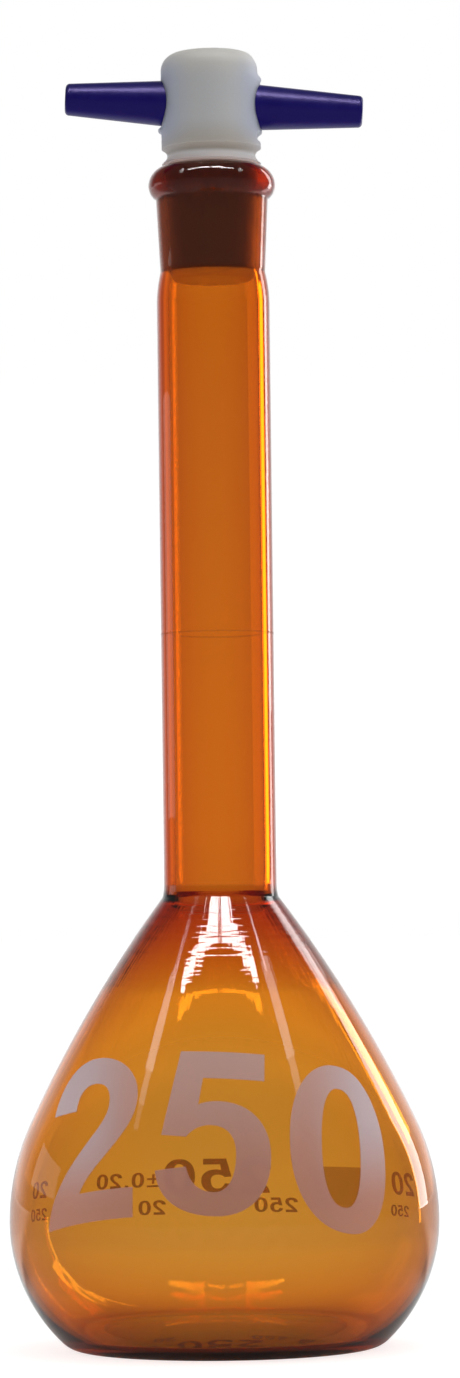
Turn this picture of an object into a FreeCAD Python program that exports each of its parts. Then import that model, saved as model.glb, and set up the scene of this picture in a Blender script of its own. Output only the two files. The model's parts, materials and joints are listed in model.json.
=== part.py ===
"""Volumetric flask of 250 mL in amber glass, closed by a polymer stopper with a cross handle.

Frame: millimetres and degrees, +Z up, origin on the flask's axis in the plane that it stands on.
The cross handle lies along X.
"""
import FreeCAD, Part
import math
import os

# Driving dimensions of the glass
FLASK_HEIGHT = 220.0          # standing plane to the top of the lip
BULB_DIAMETER = 80.0          # outside, at the belly
BELLY_HEIGHT = 23.7           # height of the widest place
UPPER_BELLY_ARC = 43.8        # outside radius of the curve above the widest place
UPPER_BELLY_SWEEP = 25.0      # how far that curve turns before the shoulder takes over
SHOULDER_ARC = 233.0          # outside radius of the long, nearly straight shoulder
SHOULDER_INSIDE = 195.0       # inside radius, tighter, so that the wall slowly thickens upwards
BEND_HEIGHT = 66.5            # inside, where the wall starts to thicken faster towards the neck
BEND_TURN = 2.6               # how far the inside turns there
COLLAR_INSIDE = 160.0         # inside radius from that bend up to the neck
NECK_FLARE = 9.0              # outside radius with which the neck widens above the crease
FLARE_SWEEP = 16.0            # how far that curve turns before it meets the shoulder in a crease
NECK_CREASE = 1.5             # inside radius at the same place
BULB_WALL = 1.175             # at the belly
LOWER_INSIDE = 27.0           # inside radius below the widest place; the wall thickens downwards
BASE_WALL = 2.5
FOOT_INSET = 13.3             # from the widest place in to the outer edge of the foot ring
FOOT_WIDTH = 4.0              # flat ring that the flask stands on
HEEL_OUTSIDE = 5.4            # outside radius between the belly and the foot ring
HEEL_INSIDE = 4.0
PUNT_RISE = 1.6               # how far the middle of the base is pushed up
NECK_DIAMETER = 21.0
NECK_WALL = 2.0

# Driving dimensions of the ground socket and its lip
MOUTH_BORE = 17.6             # ground bore in the plane of the lip
TAPER = 1.0 / 10.0            # change of diameter per length of the ground joint
GROUND_LENGTH = 19.7
SHANK_LENGTH = 6.2            # from the small end of the ground bore down to the neck tube
SOCKET_WALL = 1.93
LIP_WIDTH = 3.0               # from the mouth's bore out to the widest place of the bead
BEAD_UPPER_ARC = 3.7
BEAD_LOWER_ARC = 2.9

# Driving dimensions of the ring mark, a thin band of fired enamel round the neck
MARK_RISE = 46.5              # above the place where the neck starts
MARK_WIDTH = 0.3
MARK_THICKNESS = 0.05
MARK_GAP = 0.02               # keeps the band's facets clear of the neck's

# Driving dimensions of the stopper
GROUND_FIT = 0.05             # radial clearance of the plug in the ground bore
PLUG_REACH = 21.5             # how deep the plug goes below the lip
PLUG_CHAMFER = 0.5
CONE_PROUD = 0.35             # how far the cone stands out of the mouth, up to its skirt
SKIRT_OVERHANG = 0.4          # how far the skirt's edge reaches out from the mouth's bore, over the lip
WAIST_DIAMETER = 16.4         # relief groove between the skirt and the head
WAIST_RISE = 1.9              # above the lip
HEAD_DIAMETER = 18.5
HEAD_RISE = 3.2               # lip to the head's lower edge
HEAD_LENGTH = 17.7
HEAD_EDGE = 3.2               # rounding of the head's top edge
HEAD_CROWN = 0.4              # doming of the head's top

# Driving dimensions of the cross handle
HANDLE_LENGTH = 55.4
HANDLE_DIAMETER = 8.4         # middle stretch, held in the head
HANDLE_TIP_DIAMETER = 5.9
HANDLE_TIP_ROUND = 0.8
HANDLE_RISE = 11.3            # lip to the handle's axis
HANDLE_SHIFT = 0.6            # the handle sits a little off centre, towards +X
HANDLE_TILT = 3.1             # and its +X end dips
HANDLE_FIT = 0.03             # radial clearance in the head's cross bore
BARREL_INSET = 0.5            # the middle stretch ends this far inside the head's side

# Cutting tools reach this far past the faces that they cut
OVERCUT = 1.0

AXIS = FreeCAD.Vector(0, 0, 1)
CENTRE = FreeCAD.Vector(0, 0, 0)


def point(radius, height):
    """A point of a half section, in the XZ plane."""
    return FreeCAD.Vector(radius, 0, height)


def line(start, end):
    return Part.LineSegment(start, end).toShape()


def path(*corners):
    """Straight edges from corner to corner."""
    return [line(start, end) for start, end in zip(corners, corners[1:])]


def arc(centre, radius, start, end):
    """An edge of a circle in the half section, from one angle to another, counted from +X up."""
    spots = []
    for angle in (start, (start + end) / 2, end):
        reach = FreeCAD.Vector(math.cos(angle), 0, math.sin(angle))
        spots.append(centre + reach * radius)
    return Part.Arc(*spots).toShape()


def rounded(start, middle, end):
    return Part.Arc(start, middle, end).toShape()


def revolve(edges, axis=AXIS):
    """A solid from the edges that close a half section, in any order."""
    section = Part.Face(Part.Wire(Part.sortEdges(edges)[0]))
    return section.revolve(CENTRE, axis, 360)


def ends(edge):
    """The edge's first and last point, in the order in which it was drawn."""
    return edge.valueAt(edge.FirstParameter), edge.valueAt(edge.LastParameter)


# Heights and widths that several pieces share
PINCH_HEIGHT = FLASK_HEIGHT - GROUND_LENGTH
SOCKET_SEAM = PINCH_HEIGHT - SHANK_LENGTH
BELLY_RADIUS = BULB_DIAMETER / 2
NECK_BORE = NECK_DIAMETER - 2 * NECK_WALL
FOOT_RADIUS = BELLY_RADIUS - FOOT_INSET


def lower_belly_arc():
    """Outside radius of the curve that leaves the widest place upright and runs into the heel."""
    drop = BELLY_HEIGHT - HEEL_OUTSIDE
    return (drop ** 2 + FOOT_INSET ** 2 - HEEL_OUTSIDE ** 2) / (2 * (FOOT_INSET - HEEL_OUTSIDE))


def shoulder_centre(inset, shoulder):
    """Centre of a shoulder circle that runs on from the upper belly at a depth below the outside."""
    sweep = math.radians(UPPER_BELLY_SWEEP)
    belly_centre = point(BELLY_RADIUS - UPPER_BELLY_ARC, BELLY_HEIGHT)
    reach = shoulder - UPPER_BELLY_ARC + inset
    return belly_centre - point(math.cos(sweep), math.sin(sweep)) * reach


def belly_curve(inset, lower, heel_round, floor):
    """The belly's wall from the shoulder down to the floor, as arcs that run into each other.

    Returns the edges and the radius where the floor starts; inset is the depth below the outside.
    """
    sweep = math.radians(UPPER_BELLY_SWEEP)
    upper_centre = point(BELLY_RADIUS - UPPER_BELLY_ARC, BELLY_HEIGHT)
    lower_centre = point(BELLY_RADIUS - inset - lower, BELLY_HEIGHT)

    # The heel's circle touches the lower belly and the floor
    turn = math.asin((BELLY_HEIGHT - floor - heel_round) / (lower - heel_round))
    floor_start = lower_centre.x + (lower - heel_round) * math.cos(turn)
    heel_centre = point(floor_start, floor + heel_round)

    edges = [
        arc(upper_centre, UPPER_BELLY_ARC - inset, sweep, 0),
        arc(lower_centre, lower, 0, -turn),
        arc(heel_centre, heel_round, -turn, -math.pi / 2),
    ]
    return edges, floor_start


def bulb_outside():
    """Outside of the bulb, the height of its seam with the neck tube and the foot's outer radius."""
    flare = math.radians(FLARE_SWEEP)
    centre = shoulder_centre(0, SHOULDER_ARC)

    # The neck widens a little above the crease, where it meets the shoulder at an angle
    crease_radius = NECK_DIAMETER / 2 + NECK_FLARE * (1 - math.cos(flare))
    lean = math.acos((crease_radius - centre.x) / SHOULDER_ARC)
    seam = centre.z + SHOULDER_ARC * math.sin(lean) + NECK_FLARE * math.sin(flare)
    flare_centre = point(NECK_DIAMETER / 2 + NECK_FLARE, seam)

    edges = [
        arc(flare_centre, NECK_FLARE, math.pi, math.pi + flare),
        arc(centre, SHOULDER_ARC, lean, math.radians(UPPER_BELLY_SWEEP)),
    ]
    belly, floor_start = belly_curve(0, lower_belly_arc(), HEEL_OUTSIDE, 0)
    return edges + belly, seam, floor_start


def bulb_inside():
    """Inside of the bulb, the height where the neck's bore starts and the radius where the floor starts."""
    centre = shoulder_centre(BULB_WALL, SHOULDER_INSIDE)

    # The collar's circle starts at the bend, turned a little from the shoulder's
    bend = math.asin((BEND_HEIGHT - centre.z) / SHOULDER_INSIDE)
    turned = bend + math.radians(BEND_TURN)
    bend_point = centre + point(math.cos(bend), math.sin(bend)) * SHOULDER_INSIDE
    collar_centre = bend_point - point(math.cos(turned), math.sin(turned)) * COLLAR_INSIDE

    # The circle at the neck touches the collar and the neck's bore
    neck_middle = NECK_BORE / 2 + NECK_CREASE
    lean = math.acos((neck_middle - collar_centre.x) / (COLLAR_INSIDE + NECK_CREASE))
    neck_height = collar_centre.z + (COLLAR_INSIDE + NECK_CREASE) * math.sin(lean)

    edges = [
        arc(point(neck_middle, neck_height), NECK_CREASE, math.pi, math.pi + lean),
        arc(collar_centre, COLLAR_INSIDE, lean, turned),
        arc(centre, SHOULDER_INSIDE, bend, math.radians(UPPER_BELLY_SWEEP)),
    ]
    belly, floor_start = belly_curve(BULB_WALL, LOWER_INSIDE, HEEL_INSIDE, BASE_WALL)
    return edges + belly, neck_height, floor_start


def dome(radius, height, rise):
    """An edge from the axis out to a radius, bulging up by a rise at the axis."""
    bow = (radius ** 2 + rise ** 2) / (2 * rise)
    half_way = height + rise - bow + math.sqrt(bow ** 2 - radius ** 2 / 4)
    return rounded(point(0, height + rise), point(radius / 2, half_way), point(radius, height))


def neck_start():
    """Height of the seam between the bulb and the neck tube."""
    return bulb_outside()[1]


def mark_height():
    return neck_start() + MARK_RISE


def bulb():
    """Blown bulb with a pushed-up base and the collar that the neck tube is fused to."""
    outer, seam, _ = bulb_outside()
    inner, crease, floor_radius = bulb_inside()
    punt_radius = FOOT_RADIUS - FOOT_WIDTH
    edges = outer + inner
    edges += path(point(FOOT_RADIUS, 0), point(punt_radius, 0))
    edges += [dome(punt_radius, 0, PUNT_RISE)]
    edges += path(point(0, PUNT_RISE), point(0, BASE_WALL + PUNT_RISE))
    edges += [dome(floor_radius, BASE_WALL, PUNT_RISE)]
    edges += path(point(NECK_BORE / 2, crease), point(NECK_BORE / 2, seam), point(NECK_DIAMETER / 2, seam))
    return revolve(edges)


def capacity():
    """Volume in millilitres that the flask holds up to its ring mark."""
    inner, crease, floor_radius = bulb_inside()
    top = mark_height()
    edges = list(inner)
    edges += [dome(floor_radius, BASE_WALL, PUNT_RISE)]
    edges += path(point(NECK_BORE / 2, crease), point(NECK_BORE / 2, top), point(0, top))
    edges += path(point(0, top), point(0, BASE_WALL + PUNT_RISE))
    return revolve(edges).Volume / 1000


def neck_tube():
    """Drawn tube between the bulb's collar and the socket's shank."""
    bore = NECK_BORE / 2
    wall = NECK_DIAMETER / 2
    bottom = neck_start()
    corners = [
        point(bore, bottom),
        point(wall, bottom),
        point(wall, SOCKET_SEAM),
        point(bore, SOCKET_SEAM),
        point(bore, bottom),
    ]
    return revolve(path(*corners))


def ground_radius(height):
    """Radius of the ground bore, whose cone also shapes the plug."""
    return (MOUTH_BORE - (FLASK_HEIGHT - height) * TAPER) / 2


def shank_curve(neck_radius, pinch_radius):
    """An edge that leaves the neck's wall upright and draws in to the socket's small end."""
    draw = neck_radius - pinch_radius
    bow = (SHANK_LENGTH ** 2 + draw ** 2) / (2 * draw)
    turn = math.asin(SHANK_LENGTH / bow)
    return arc(point(neck_radius - bow, SOCKET_SEAM), bow, 0, turn)


def socket_wall():
    """Outside of the socket up to the middle of its bead, still without its bore."""
    bead_middle = FLASK_HEIGHT - BEAD_UPPER_ARC
    pinch = ground_radius(PINCH_HEIGHT) + SOCKET_WALL
    edges = [shank_curve(NECK_DIAMETER / 2, pinch)]
    edges += path(
        point(pinch, PINCH_HEIGHT),
        point(ground_radius(bead_middle) + SOCKET_WALL, bead_middle),
        point(0, bead_middle),
        point(0, SOCKET_SEAM),
        point(NECK_DIAMETER / 2, SOCKET_SEAM),
    )
    return revolve(edges)


def bead():
    """Fire-polished bead of the lip, rounder above its widest place than below."""
    middle = FLASK_HEIGHT - BEAD_UPPER_ARC
    reach = MOUTH_BORE / 2 + LIP_WIDTH
    upper_centre = point(reach - BEAD_UPPER_ARC, middle)
    lower_centre = point(reach - BEAD_LOWER_ARC, middle)
    edges = [
        arc(upper_centre, BEAD_UPPER_ARC, math.pi / 2, 0),
        arc(lower_centre, BEAD_LOWER_ARC, 0, -math.pi / 2),
    ]
    edges += path(
        ends(edges[1])[1],
        point(0, middle - BEAD_LOWER_ARC),
        point(0, FLASK_HEIGHT),
        ends(edges[0])[0],
    )
    return revolve(edges)


def socket_bore():
    """Ground cone, and below its small end the shank that opens to the neck's bore."""
    top = FLASK_HEIGHT + OVERCUT
    bottom = SOCKET_SEAM - OVERCUT
    neck = NECK_BORE / 2
    pinch = ground_radius(PINCH_HEIGHT)
    edges = [shank_curve(neck, pinch)]
    edges += path(
        point(pinch, PINCH_HEIGHT),
        point(ground_radius(top), top),
        point(0, top),
        point(0, bottom),
        point(neck, bottom),
        point(neck, SOCKET_SEAM),
    )
    return revolve(edges)


def ground_socket():
    """Ground-glass socket with its beaded lip and the shank that is fused to the neck tube."""
    return socket_wall().fuse(bead()).cut(socket_bore()).removeSplitter()


def ring_mark():
    """Ring mark that the flask is filled to."""
    inner = NECK_DIAMETER / 2 + MARK_GAP
    outer = inner + MARK_THICKNESS
    bottom = mark_height() - MARK_WIDTH / 2
    top = mark_height() + MARK_WIDTH / 2
    corners = [
        point(inner, bottom),
        point(outer, bottom),
        point(outer, top),
        point(inner, top),
        point(inner, bottom),
    ]
    return revolve(path(*corners))


def handle_place(shape):
    """Turns a piece that lies along X to the handle's tilt and lifts it to the handle's height."""
    shape.rotate(CENTRE, FreeCAD.Vector(0, 1, 0), HANDLE_TILT)
    shape.translate(point(0, FLASK_HEIGHT + HANDLE_RISE))
    return shape


def cross_bore():
    radius = HANDLE_DIAMETER / 2 + HANDLE_FIT
    start = FreeCAD.Vector(-HEAD_DIAMETER, 0, 0)
    return handle_place(Part.makeCylinder(radius, 2 * HEAD_DIAMETER, start, FreeCAD.Vector(1, 0, 0)))


def stopper_plug():
    """Turned stopper: ground cone, skirt, relief groove and a domed head with a bore for the handle."""
    tip = FLASK_HEIGHT - PLUG_REACH
    cone_top = FLASK_HEIGHT + CONE_PROUD
    tip_radius = ground_radius(tip) - GROUND_FIT
    head_bottom = FLASK_HEIGHT + HEAD_RISE
    head_top = head_bottom + HEAD_LENGTH
    head_radius = HEAD_DIAMETER / 2
    crown_radius = head_radius - HEAD_EDGE
    chamfer_top = tip + PLUG_CHAMFER
    groove_bottom = point(MOUTH_BORE / 2 + SKIRT_OVERHANG, cone_top)
    groove_top = point(head_radius, head_bottom)
    edges = path(
        point(0, head_top + HEAD_CROWN),
        point(0, tip),
        point(tip_radius - PLUG_CHAMFER, tip),
        point(ground_radius(chamfer_top) - GROUND_FIT, chamfer_top),
        point(ground_radius(cone_top) - GROUND_FIT, cone_top),
        groove_bottom,
    )
    edges += [rounded(groove_bottom, point(WAIST_DIAMETER / 2, FLASK_HEIGHT + WAIST_RISE), groove_top)]
    edges += path(groove_top, point(head_radius, head_top - HEAD_EDGE))
    edges += [arc(point(crown_radius, head_top - HEAD_EDGE), HEAD_EDGE, 0, math.pi / 2)]
    edges += [dome(crown_radius, head_top, HEAD_CROWN)]
    return revolve(edges).cut(cross_bore())


def cross_handle():
    """Bar through the stopper's head: an even middle stretch and two tapered, rounded ends."""
    middle = HANDLE_DIAMETER / 2
    tip = HANDLE_TIP_DIAMETER / 2
    barrel = HEAD_DIAMETER / 2 - BARREL_INSET
    left = HANDLE_SHIFT - HANDLE_LENGTH / 2
    right = HANDLE_SHIFT + HANDLE_LENGTH / 2
    left_round = point(left + HANDLE_TIP_ROUND, tip - HANDLE_TIP_ROUND)
    right_round = point(right - HANDLE_TIP_ROUND, tip - HANDLE_TIP_ROUND)
    edges = path(
        point(left + HANDLE_TIP_ROUND, tip),
        point(-barrel, middle),
        point(barrel, middle),
        point(right - HANDLE_TIP_ROUND, tip),
    )
    edges += [arc(right_round, HANDLE_TIP_ROUND, math.pi / 2, 0)]
    edges += path(
        point(right, tip - HANDLE_TIP_ROUND),
        point(right, 0),
        point(left, 0),
        point(left, tip - HANDLE_TIP_ROUND),
    )
    edges += [arc(left_round, HANDLE_TIP_ROUND, math.pi, math.pi / 2)]
    return handle_place(revolve(edges, axis=FreeCAD.Vector(1, 0, 0)))


PIECES = [bulb, neck_tube, ground_socket, ring_mark, stopper_plug, cross_handle]

os.makedirs("parts", exist_ok=True)
for piece in PIECES:
    shape = piece()
    print(piece.__name__, "volume", round(shape.Volume), "solids", len(shape.Solids), "valid", shape.isValid())
    shape.exportStep("parts/" + piece.__name__ + ".step")

print("holds", round(capacity(), 1), "mL to the ring mark at", round(mark_height(), 1), "mm")
print("neck starts at", round(neck_start(), 1), "mm")
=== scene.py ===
"""Looks of a 250 mL volumetric flask in amber glass, closed by a white stopper with a violet cross handle.

The file is laid out as an add-on: settings, one operator for each piece or group of like pieces, one for
the stage, and a sidebar panel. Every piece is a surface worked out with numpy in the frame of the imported
model: metres, +Z up, origin on the flask's axis in the plane that it stands on. The flask's front, which
the camera sees, is its -Y side, and a turn round the axis is counted from there towards +X.
"""

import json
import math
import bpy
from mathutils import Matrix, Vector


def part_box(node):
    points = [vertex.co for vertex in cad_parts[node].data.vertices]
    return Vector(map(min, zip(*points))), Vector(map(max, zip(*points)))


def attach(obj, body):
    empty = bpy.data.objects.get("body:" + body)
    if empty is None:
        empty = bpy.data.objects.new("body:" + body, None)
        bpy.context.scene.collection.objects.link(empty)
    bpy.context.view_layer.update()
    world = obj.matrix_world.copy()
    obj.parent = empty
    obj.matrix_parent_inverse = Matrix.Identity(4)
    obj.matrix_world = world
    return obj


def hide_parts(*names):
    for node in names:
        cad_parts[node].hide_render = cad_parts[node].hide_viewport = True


bl_info = {
    "name": "Volumetric flask",
    "version": (1, 0, 0),
    "blender": (4, 5, 0),
    "location": "3D View > Sidebar > Flask",
    "description": "Amber volumetric flask with a cross-handled stopper, dressed over its packed model",
    "category": "Object",
}

import bmesh
import bpy
import numpy as np
from bpy.props import FloatProperty, FloatVectorProperty, PointerProperty
from bpy.types import Operator, Panel, PropertyGroup
from mathutils import Matrix, Vector

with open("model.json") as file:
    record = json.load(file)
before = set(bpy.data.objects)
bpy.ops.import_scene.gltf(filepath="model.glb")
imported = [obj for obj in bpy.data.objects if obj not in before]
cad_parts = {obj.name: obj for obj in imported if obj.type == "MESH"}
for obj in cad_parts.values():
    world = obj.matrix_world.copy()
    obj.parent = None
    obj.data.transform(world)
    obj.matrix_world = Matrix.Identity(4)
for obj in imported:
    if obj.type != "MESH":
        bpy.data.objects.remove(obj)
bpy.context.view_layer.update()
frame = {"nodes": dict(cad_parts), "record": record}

MM = 0.001

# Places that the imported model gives
BELLY_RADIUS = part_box("bulb")[1].x
NECK_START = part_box("bulb")[1].z
NECK_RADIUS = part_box("neck_tube")[1].x
SOCKET_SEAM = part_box("ground_socket")[0].z
BEAD_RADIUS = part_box("ground_socket")[1].x
PLUG_TIP, HEAD_TOP = (corner.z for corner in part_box("stopper_plug"))
HEAD_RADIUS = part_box("stopper_plug")[1].x
MOUTH = next(mount for mount in frame["record"]["mounts"] if mount["name"] == "socket_mouth")
LIP_HEIGHT = MOUTH["pos_m"][2]
MOUTH_RADIUS = MOUTH["dims"]["r_mm"] * MM
GROUND_LENGTH = MOUTH["dims"]["length_mm"] * MM
PINCH_HEIGHT = LIP_HEIGHT - GROUND_LENGTH

# Curves of the bulb, outside unless the name says otherwise
BELLY_HEIGHT = 23.7 * MM
UPPER_BELLY_ARC = 43.8 * MM
UPPER_BELLY_SWEEP = math.radians(25.0)
SHOULDER_ARC = 233.0 * MM
SHOULDER_INSIDE = 195.0 * MM
BEND_HEIGHT = 66.5 * MM
BEND_TURN = math.radians(2.6)
COLLAR_INSIDE = 160.0 * MM
NECK_FLARE = 9.0 * MM
FLARE_SWEEP = math.radians(16.0)
NECK_CREASE = 1.5 * MM
LOWER_INSIDE = 27.0 * MM
FOOT_INSET = 13.3 * MM
FOOT_WIDTH = 4.0 * MM
HEEL_OUTSIDE = 5.4 * MM
HEEL_INSIDE = 4.0 * MM
PUNT_RISE = 1.6 * MM

# Curves of the socket and its lip
TAPER = 0.1
SOCKET_WALL = 1.93 * MM
BEAD_UPPER_ARC = 3.7 * MM
BEAD_LOWER_ARC = 2.9 * MM
BEAD_MIDDLE = LIP_HEIGHT - BEAD_UPPER_ARC
LIP_EDGE = 0.35 * MM
MELT = 0.03 * MM
BORE_MELT = 0.12 * MM

# Turned form of the stopper
GROUND_FIT = 0.05 * MM
PLUG_CHAMFER = 0.5 * MM
CONE_PROUD = 0.35 * MM
SKIRT_OVERHANG = 0.4 * MM
WAIST_RADIUS = 8.2 * MM
WAIST_RISE = 1.9 * MM
HEAD_RISE = 3.2 * MM
HEAD_EDGE = 3.2 * MM
HEAD_CROWN = 0.4 * MM

# Line of the cross handle
HANDLE_HEIGHT = LIP_HEIGHT + 11.3 * MM
HANDLE_SHIFT = 0.6 * MM
HANDLE_TILT = math.radians(3.1)
HANDLE_FIT = 0.03 * MM
BARREL_INSET = 0.5 * MM
TIP_ROUND = 0.8 * MM

# Points round each turned piece
FLASK_SEGMENTS = 240
STOPPER_SEGMENTS = 288
HANDLE_SEGMENTS = 96

# Angles between two faces over which their edge stays sharp
GLASS_SHARP = math.radians(14)
PRINT_SHARP = math.radians(40)
STOPPER_SHARP = math.radians(50)


class GlassSettings(PropertyGroup):
    """Sizes and colour of the blown glass."""

    bulb_wall: FloatProperty(
        name="Bulb wall", description="Thickness of the glass at the belly",
        default=1.175 * MM, min=0.5 * MM, max=3 * MM, unit="LENGTH", subtype="DISTANCE", precision=5)
    base_wall: FloatProperty(
        name="Base wall", description="Thickness of the glass under the bulb",
        default=2.5 * MM, min=1 * MM, max=5 * MM, unit="LENGTH", subtype="DISTANCE", precision=5)
    neck_wall: FloatProperty(
        name="Neck wall", description="Thickness of the neck tube",
        default=2.0 * MM, min=1 * MM, max=3 * MM, unit="LENGTH", subtype="DISTANCE", precision=5)
    tint: FloatVectorProperty(
        name="Tint", description="Colour that the glass lets through",
        default=(0.924, 0.727, 0.18), size=3, min=0, max=1, subtype="COLOR")
    tint_density: FloatProperty(
        name="Tint density", description="Strength of the tint per metre of glass", default=1900, min=0)
    index: FloatProperty(
        name="Refractive index", description="How strongly the glass bends light",
        default=1.5, min=1, max=2)
    # The ground bore's tint is partly the real loss at its dull surface and partly painted shade on the plug
    # seen through it
    ground: FloatVectorProperty(
        name="Ground bore", description="What the ground bore lets through",
        default=(0.125, 0.098, 0.09), size=3, min=0, max=1, subtype="COLOR")
    relief: FloatProperty(
        name="Relief", description="Depth of the rings and flutes that the forming left",
        default=0.02 * MM, min=0, unit="LENGTH", subtype="DISTANCE", precision=6)


class PrintSettings(PropertyGroup):
    """Sizes and colours of the fired enamel."""

    thickness: FloatProperty(
        name="Thickness", description="How far the enamel stands up from the glass",
        default=0.05 * MM, min=0.01 * MM, max=0.3 * MM, unit="LENGTH", subtype="DISTANCE", precision=6)
    centre_turn: FloatProperty(
        name="Centre", description="Turn of the large number's middle from the front",
        default=math.radians(-2.85), subtype="ANGLE")
    baseline: FloatProperty(
        name="Baseline", description="Height of the large number's lower edge at its middle",
        default=27.0 * MM, unit="LENGTH", subtype="DISTANCE", precision=5)
    colour: FloatVectorProperty(
        name="Colour", description="Colour of the enamel",
        default=(0.66, 0.315, 0.235), size=3, min=0, max=1, subtype="COLOR")
    # Painted sheen from overhead: the enamel high on the bulb is given a paler colour
    top_sheen_colour: FloatVectorProperty(
        name="Top colour", description="Colour of the enamel high on the bulb, where it is thicker",
        default=(0.72, 0.46, 0.42), size=3, min=0, max=1, subtype="COLOR")
    # Painted sheen and side light: the sides of the large number are given a paler, greyer colour
    side_sheen_colour: FloatVectorProperty(
        name="Side colour", description="Colour of the enamel at the sides of the large number",
        default=(0.66, 0.50, 0.515), size=3, min=0, max=1, subtype="COLOR")
    cover: FloatProperty(
        name="Cover", description="How much of the light the numbers hold back", default=0.72, min=0, max=1)
    # Painted sheen and side light also make the sides of the large number hold back more light
    side_sheen_cover: FloatProperty(
        name="Side cover", description="How much of the light the sides of the large number hold back",
        default=0.92, min=0, max=1)
    back_cover: FloatProperty(
        name="Back cover", description="How much of the light the numbers on the back hold back",
        default=0.5, min=0, max=1)
    # Painted shade: the back numbers are the same enamel as the front, made darker and browner for their
    # inner side seen through the glass
    back_shaded_colour: FloatVectorProperty(
        name="Back colour", description="Colour of the numbers on the back",
        default=(0.62, 0.20, 0.08), size=3, min=0, max=1, subtype="COLOR")
    field_cover: FloatProperty(
        name="Field cover", description="How much of the light the field holds back",
        default=0.3, min=0, max=1)
    ring_colour: FloatVectorProperty(
        name="Ring mark", description="Colour of the ring mark",
        default=(0.30, 0.13, 0.05), size=3, min=0, max=1, subtype="COLOR")
    ring_cover: FloatProperty(
        name="Ring cover", description="How much of the light the ring mark holds back",
        default=0.10, min=0, max=1)


class StopperSettings(PropertyGroup):
    """Colours of the stopper and sizes of its handle."""

    polymer: FloatVectorProperty(
        name="Polymer", description="Colour of the stopper",
        default=(0.70, 0.705, 0.715), size=3, min=0, max=1, subtype="COLOR")
    # Painted bounce light from the violet handle at the sides of the head
    handle_bounce_tint: FloatVectorProperty(
        name="Stained polymer", description="Colour of the stopper where the handle shows through it",
        default=(0.62, 0.67, 0.84), size=3, min=0, max=1, subtype="COLOR")
    # Painted light from above: the crown is given a lighter, warmer colour
    crown: FloatVectorProperty(
        name="Crown", description="Colour of the stopper at the top of its head",
        default=(0.80, 0.785, 0.735), size=3, min=0, max=1, subtype="COLOR")
    # Painted shade below the handle, with a painted warm bounce from the amber glass
    shaded_lower_head: FloatVectorProperty(
        name="Lower head", description="Colour of the stopper below the handle",
        default=(0.595, 0.55, 0.49), size=3, min=0, max=1, subtype="COLOR")
    groove: FloatVectorProperty(
        name="Groove", description="Colour of the stopper in its groove, where light comes through",
        default=(0.96, 0.98, 1.0), size=3, min=0, max=1, subtype="COLOR")
    plastic: FloatVectorProperty(
        name="Handle plastic", description="Colour of the cross handle",
        default=(0.0045, 0.0015, 0.155), size=3, min=0, max=1, subtype="COLOR")
    handle_length: FloatProperty(
        name="Handle length", description="From tip to tip",
        default=55.4 * MM, unit="LENGTH", subtype="DISTANCE", precision=5)
    handle_diameter: FloatProperty(
        name="Handle diameter", description="Of the stretch inside the head",
        default=8.4 * MM, unit="LENGTH", subtype="DISTANCE", precision=5)
    tip_diameter: FloatProperty(
        name="Tip diameter", description="Of both ends of the handle",
        default=5.9 * MM, unit="LENGTH", subtype="DISTANCE", precision=5)


class StageSettings(PropertyGroup):
    """Camera and light."""

    eye: FloatVectorProperty(
        name="Camera", description="Place of the camera",
        default=(0, -873.9 * MM, 78.1 * MM), size=3, unit="LENGTH", subtype="TRANSLATION")
    roll: FloatProperty(
        name="Roll", description="How far the camera leans", default=0.0124, subtype="ANGLE")
    lens: FloatProperty(name="Lens", description="Focal length in millimetres", default=122.6, min=1)
    shift: FloatVectorProperty(
        name="Shift", description="How far the picture's middle lies off the line of sight",
        default=(0.0066, 0.1736), size=2)
    front_ambient: FloatProperty(
        name="Front ambient", description="Light of the room on dull surfaces, from the camera's side",
        default=0.12, min=0)
    back_ambient: FloatProperty(
        name="Back ambient", description="Light of the room on dull surfaces, from behind",
        default=0.7, min=0)
    floor_ambient: FloatProperty(
        name="Floor ambient", description="Light of the floor on dull surfaces", default=0.42, min=0)
    front_gloss: FloatProperty(
        name="Front gloss", description="Brightness that gloss and glass show on the camera's side",
        default=0.14, min=0)
    horizon_gloss: FloatProperty(
        name="Horizon gloss",
        description="Brightness that gloss and glass show on the camera's side, just above the horizon",
        default=0.21, min=0)
    floor_gloss: FloatProperty(
        name="Floor gloss", description="Brightness of the floor behind in gloss and glass",
        default=0.66, min=0)


# Surfaces

def arc(centre, radius, start, end, count):
    """Points on a circle: the centre plus the radius times cosine and sine of evenly spaced angles."""
    angle = np.linspace(start, end, count)
    return np.stack([centre[0] + radius * np.cos(angle), centre[1] + radius * np.sin(angle)], axis=1)


def straight(start, end, count):
    """Evenly spaced points from one point to another."""
    return np.linspace(start, end, count)


def joined(*runs):
    """One outline from runs of points that start where the run before them ends."""
    return np.concatenate([runs[0]] + [run[1:] for run in runs[1:]])


def soft_max(first, second, melt):
    """The larger of two lengths, rounded over where they meet.

    Half of: their sum plus the root of their squared difference plus the squared melt.
    """
    return (first + second + np.sqrt((first - second) ** 2 + melt ** 2)) / 2


def revolved(outline, segments):
    """Turns a half section round the axis: (r sin t, -r cos t, z) for every outline point and every turn t.

    The outline starts and ends on the axis and has the solid on its left, so faces point outwards.
    """
    radius, height = outline[1:-1].T
    turn = np.linspace(0, 2 * np.pi, segments, endpoint=False)
    rings = np.stack([
        np.outer(radius, np.sin(turn)),
        -np.outer(radius, np.cos(turn)),
        np.repeat(height[:, None], segments, axis=1),
    ], axis=-1)
    return rings, (0, 0, outline[0, 1]), (0, 0, outline[-1, 1])


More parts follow.
